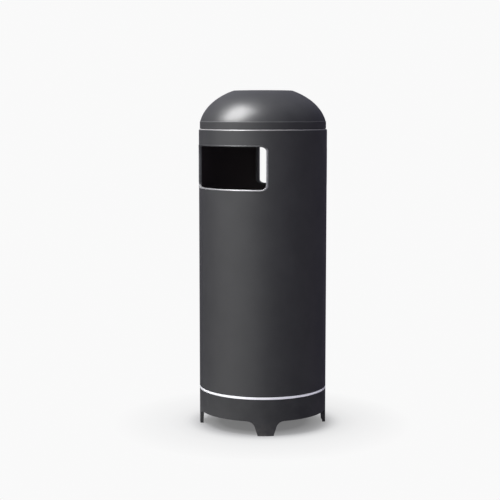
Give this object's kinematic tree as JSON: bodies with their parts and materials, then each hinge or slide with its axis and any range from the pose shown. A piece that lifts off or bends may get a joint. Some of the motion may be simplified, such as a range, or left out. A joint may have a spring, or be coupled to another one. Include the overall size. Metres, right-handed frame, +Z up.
{
  "type": "ashtray bin",
  "caption": "Round free-standing street litter bin with a domed hinged lid, opposite throats, an ashtray let into the flat top, a lift-out liner and a footed base.",
  "frame": {"origin": "on the ground, at the middle of the footprint", "axes": "+Z up along the body's axis; the throats face -Y and +Y; the lid hinge is at +Y and the lid lock at -Y"},
  "size_m": [0.4205, 0.4313, 1.1],
  "materials": {
    "painted_shell": "satin dark grey powder coat",
    "painted_base": "satin dark grey paint on a casting",
    "painted_fittings": "satin dark grey paint",
    "bright_band": "bright, finely turned",
    "galvanised": "hot-dip galvanised",
    "stainless": "brushed",
    "zinc_hardware": "bright zinc plate",
    "bronze": "plain bearing bronze",
    "rubber": "matt black"
  },
  "bodies": {
    "bin": {"base_ring": "painted_base", "floor_plate": "galvanised", "floor_screws": "zinc_hardware", "trim_band": "bright_band", "body_shell": "painted_shell", "rim_ring": "painted_shell", "joint_bolts": "zinc_hardware", "joint_nuts": "zinc_hardware", "throat_surround_front": "painted_shell", "throat_surround_rear": "painted_shell", "lid_gasket": "rubber", "hinge_body_leaf": "painted_fittings", "hinge_pin": "zinc_hardware", "hinge_body_rivets": "zinc_hardware"},
    "lid": {"dome_shell": "painted_shell", "lid_skirt": "painted_shell", "ash_seat": "painted_fittings", "hinge_lid_leaf": "painted_fittings", "hinge_lid_rivets": "zinc_hardware", "lock_bracket": "painted_fittings", "lock_bush": "bronze"},
    "lock": {"lock_spindle": "zinc_hardware", "lock_cam": "zinc_hardware", "lock_nut": "zinc_hardware", "spindle_collar": "zinc_hardware"},
    "ash_insert": {"ash_pan": "galvanised"},
    "stubber": {"stub_plate": "stainless", "stub_knob": "stainless", "knob_bolt": "zinc_hardware"},
    "liner": {"liner_bucket": "galvanised", "liner_lugs": "zinc_hardware"},
    "left_handle": {"liner_handle_left": "zinc_hardware"},
    "right_handle": {"liner_handle_right": "zinc_hardware"}
  },
  "joints": [
    {"name": "lid_hinge", "type": "hinge", "parent": "bin", "child": "lid", "pos_m": [0, 0.2148, 0.977], "axis": [-1, 0, 0], "range_deg": [0, 100]},
    {"name": "lock_turn", "type": "hinge", "parent": "lid", "child": "lock", "pos_m": [0, -0.17, 0.97], "axis": [0, 0, -1], "range_deg": [0, 90]},
    {"name": "pan_lift", "type": "slide", "parent": "lid", "child": "ash_insert", "axis": [0, 0, 1], "range_m": [0, 0.12]},
    {"name": "stub_lift", "type": "slide", "parent": "ash_insert", "child": "stubber", "axis": [0, 0, 1], "range_m": [0, 0.08]},
    {"name": "liner_lift", "type": "slide", "parent": "bin", "child": "liner", "axis": [0, 0, 1], "range_m": [0, 0.2]},
    {"name": "left_handle_swing", "type": "hinge", "parent": "liner", "child": "left_handle", "pos_m": [-0.1615, 0, 0.714], "axis": [0, -1, 0], "range_deg": [0, 175]},
    {"name": "right_handle_swing", "type": "hinge", "parent": "liner", "child": "right_handle", "pos_m": [0.1615, 0, 0.714], "axis": [0, 1, 0], "range_deg": [0, 175]}
  ]
}
